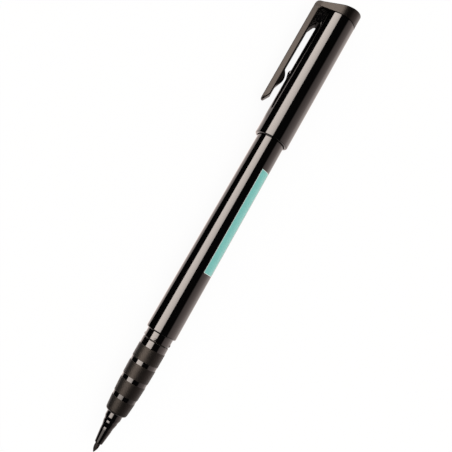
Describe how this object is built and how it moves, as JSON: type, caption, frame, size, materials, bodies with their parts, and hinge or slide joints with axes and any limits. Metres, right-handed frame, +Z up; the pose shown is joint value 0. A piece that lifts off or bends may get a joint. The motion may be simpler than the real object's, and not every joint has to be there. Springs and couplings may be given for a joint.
{
  "type": "permanent marker",
  "caption": "Slim permanent marker lying with its cap posted on the tail: stepped nib holder, ringed grip, tapered barrel, pull-off cap with a slanted crown and a springy pocket clip.",
  "frame": {"origin": "middle of the outline's base, on the table under the pen, with the cap posted", "axes": "+X along the pen from the nib to the crown, +Y to the side that the clip leans to, +Z up from the table"},
  "size_m": [0.1558, 0.0154, 0.0111],
  "materials": {
    "nib_fibre": "inked bonded fibre, dull",
    "gloss_black": "polished moulded polypropylene",
    "textured_black": "spark-eroded satin moulded polypropylene",
    "inner_black": "plain moulded polypropylene",
    "reservoir_fibre": "ink-soaked polyester fibre",
    "clear_film": "thin clear film",
    "natural_white": "uncoloured polypropylene, slightly waxy"
  },
  "bodies": {
    "pen": {"nib": "nib_fibre", "nib_holder": "gloss_black", "front_grip": "textured_black", "barrel": "gloss_black", "ink_reservoir": "reservoir_fibre", "reservoir_sleeve": "clear_film", "tail_plug": "inner_black"},
    "cap": {"cap_tube": "gloss_black", "inner_cap": "natural_white", "cap_crown": "textured_black"},
    "clip": {"clip_arm": "textured_black"}
  },
  "joints": [
    {"name": "cap_slide", "type": "slide", "parent": "pen", "child": "cap", "axis": [1, 0, 0], "range_m": [0, 0.034]},
    {"name": "clip_flex", "type": "hinge", "parent": "cap", "child": "clip", "pos_m": [0.06471, 0.00589, 0.00328], "axis": [0, -0.2758, -0.9612], "range_deg": [-1, 5], "stiffness_Nm_per_rad": 0.7}
  ]
}
